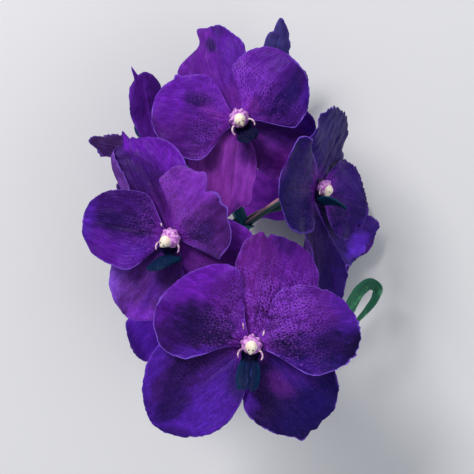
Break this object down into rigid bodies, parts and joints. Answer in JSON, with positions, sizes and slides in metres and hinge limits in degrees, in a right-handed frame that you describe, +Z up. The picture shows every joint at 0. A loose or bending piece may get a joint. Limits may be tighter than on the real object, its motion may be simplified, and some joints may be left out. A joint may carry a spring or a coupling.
{
  "type": "vanda orchid flower spray",
  "caption": "Cut spray of open violet-blue orchid flowers on a green stem, each flower with broad tepals, a cream column and a dark ridged lip, and a looped strap leaf.",
  "frame": {"origin": "on the surface the spray lies on, under the middle of its box", "axes": "+Z up out of the faces of the front flowers, +Y along the spray from the cut end to the tip, +X across it"},
  "size_m": [0.1444, 0.1964, 0.1059],
  "materials": {
    "tepal": "satin",
    "column": "satin",
    "lip": "satin",
    "stem": "satin",
    "leaf": "satin"
  },
  "bodies": {
    "root": {"front_tepals": "tepal", "front_column": "column", "front_lip": "lip", "left_tepals": "tepal", "left_column": "column", "left_lip": "lip", "top_tepals": "tepal", "top_column": "column", "top_lip": "lip", "right_tepals": "tepal", "right_column": "column", "right_lip": "lip", "back_left_tepals": "tepal", "back_left_column": "column", "back_left_lip": "lip", "back_top_tepals": "tepal", "back_top_column": "column", "back_top_lip": "lip", "back_right_tepals": "tepal", "back_right_column": "column", "back_right_lip": "lip", "back_low_tepals": "tepal", "back_low_column": "column", "back_low_lip": "lip", "stem": "stem", "leaf": "leaf"}
  },
  "joints": []
}
